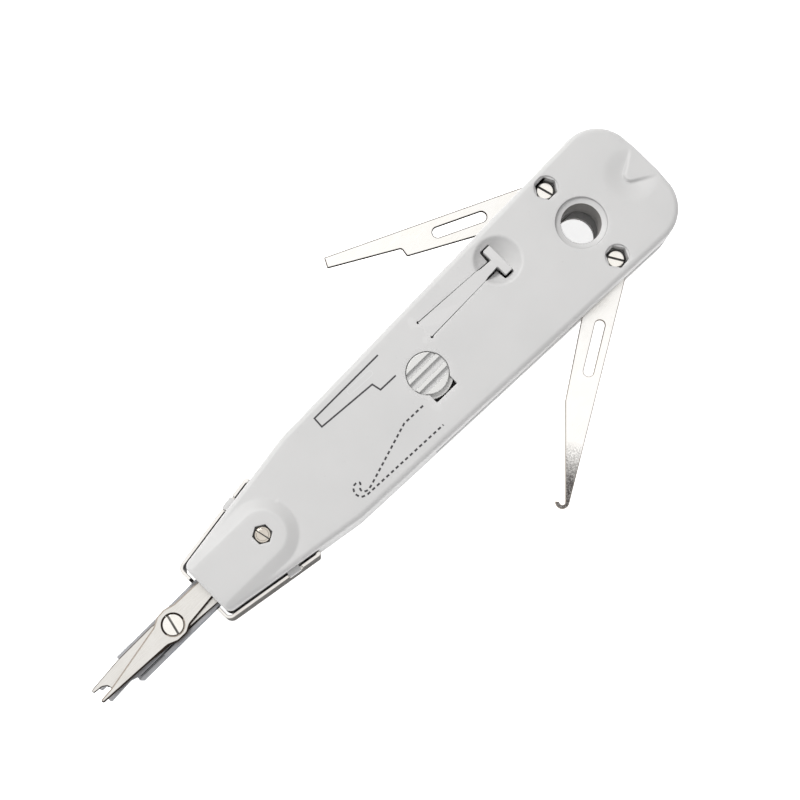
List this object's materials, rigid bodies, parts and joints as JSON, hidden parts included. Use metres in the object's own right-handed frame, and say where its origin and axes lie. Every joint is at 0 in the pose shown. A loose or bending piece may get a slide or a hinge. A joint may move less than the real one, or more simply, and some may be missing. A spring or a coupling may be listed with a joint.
{
  "type": "punch down tool",
  "caption": "Hand punch down tool: flat moulded handle, sprung insertion nose with scissors, fold-out knife and hook, round lock knob.",
  "frame": {"origin": "On the back face, half way along the moulded housing, straight under the lock knob's axis", "axes": "+X from the nose to the butt end, +Y towards the side the knife folds out of, +Z out of the front face that carries the knob"},
  "size_m": [0.1793, 0.0821, 0.0205],
  "materials": {
    "housing_plastic": "fine matte moulded texture",
    "knob_plastic": "matte",
    "bright_steel": "bright nickel plated",
    "satin_steel": "satin",
    "dark_steel": "dark oxide",
    "spring_wire": "drawn wire"
  },
  "bodies": {
    "housing": {"front_shell": "housing_plastic", "back_shell": "housing_plastic", "nose_strap": "bright_steel", "nose_screw": "bright_steel", "nose_nut": "bright_steel", "knife_screw": "bright_steel", "knife_nut": "bright_steel", "knife_washer": "satin_steel", "hook_screw": "bright_steel", "hook_nut": "bright_steel", "hook_washer": "satin_steel", "knob_washer": "satin_steel", "main_spring": "spring_wire", "spring_seat": "knob_plastic", "sear_pin": "bright_steel", "sear_spring": "spring_wire", "cam_pin": "bright_steel"},
    "carriage": {"channel": "satin_steel", "inserter_foot": "satin_steel", "fixed_blade": "bright_steel", "pivot_screw": "bright_steel", "pivot_nut": "bright_steel", "carriage_block": "satin_steel", "plunger_rod": "satin_steel", "sensor_spring": "spring_wire"},
    "cutter": {"moving_blade": "bright_steel"},
    "sensor": {"sensor_pin": "dark_steel"},
    "striker": {"hammer": "satin_steel"},
    "release_lever": {"sear": "satin_steel"},
    "knob": {"lock_knob": "knob_plastic"},
    "cutter_lock": {"lock_slide": "satin_steel"},
    "knife_blade": {"knife": "bright_steel"},
    "hook_blade": {"hook": "bright_steel"},
    "knife_catch": {"front_latch": "housing_plastic"},
    "hook_catch": {"back_latch": "housing_plastic"}
  },
  "joints": [
    {"name": "carriage_slide", "type": "slide", "parent": "housing", "child": "carriage", "axis": [1, 0, 0], "range_m": [0, 0.005], "stiffness_N_per_m": 2000, "springref_m": -0.002},
    {"name": "cutter_hinge", "type": "hinge", "parent": "carriage", "child": "cutter", "pos_m": [-0.0825, 0, 0.0132], "axis": [0, 0, 1], "range_deg": [-5, 0]},
    {"name": "sensor_slide", "type": "slide", "parent": "carriage", "child": "sensor", "axis": [1, 0, 0], "range_m": [0, 0.0015], "stiffness_N_per_m": 200, "deforming": ["sensor_spring"]},
    {"name": "striker_slide", "type": "slide", "parent": "housing", "child": "striker", "axis": [1, 0, 0], "range_m": [0, 0.005], "deforming": ["main_spring"]},
    {"name": "release_hinge", "type": "hinge", "parent": "housing", "child": "release_lever", "pos_m": [-0.02, 0, 0.0142], "axis": [0, 1, 0], "range_deg": [-6, 0], "deforming": ["sear_spring"]},
    {"name": "knob_turn", "type": "hinge", "parent": "housing", "child": "knob", "pos_m": [0, 0, 0.017], "axis": [0, 0, 1], "range_deg": [0, 90]},
    {"name": "lock_slide_travel", "type": "slide", "parent": "housing", "child": "cutter_lock", "axis": [1, 0, 0], "range_m": [-0.0025, 0]},
    {"name": "knife_hinge", "type": "hinge", "parent": "housing", "child": "knife_blade", "pos_m": [0.05095, 0.0117, 0.0111], "axis": [0, 0, 1], "range_deg": [-128, 26.1]},
    {"name": "hook_hinge", "type": "hinge", "parent": "housing", "child": "hook_blade", "pos_m": [0.0513, -0.01155, 0.0079], "axis": [0, 0, 1], "range_deg": [-32.2, 121]},
    {"name": "knife_catch_flex", "type": "hinge", "parent": "housing", "child": "knife_catch", "pos_m": [0.0068, 0.0077, 0.0182], "axis": [0, 1, 0], "range_deg": [0, 3], "stiffness_Nm_per_rad": 2.3},
    {"name": "hook_catch_flex", "type": "hinge", "parent": "housing", "child": "hook_catch", "pos_m": [0.0068, -0.0077, 0.0008], "axis": [0, -1, 0], "range_deg": [0, 3], "stiffness_Nm_per_rad": 2.3}
  ],
  "couplings": [
    {"joint": "cutter_hinge", "follows": "carriage_slide", "rad_per_m": -17.453},
    {"joint": "striker_slide", "follows": "carriage_slide", "ratio": 1},
    {"joint": "release_hinge", "follows": "carriage_slide", "rad_per_m": -20.944},
    {"joint": "lock_slide_travel", "follows": "knob_turn", "m_per_rad": -0.0015915}
  ]
}
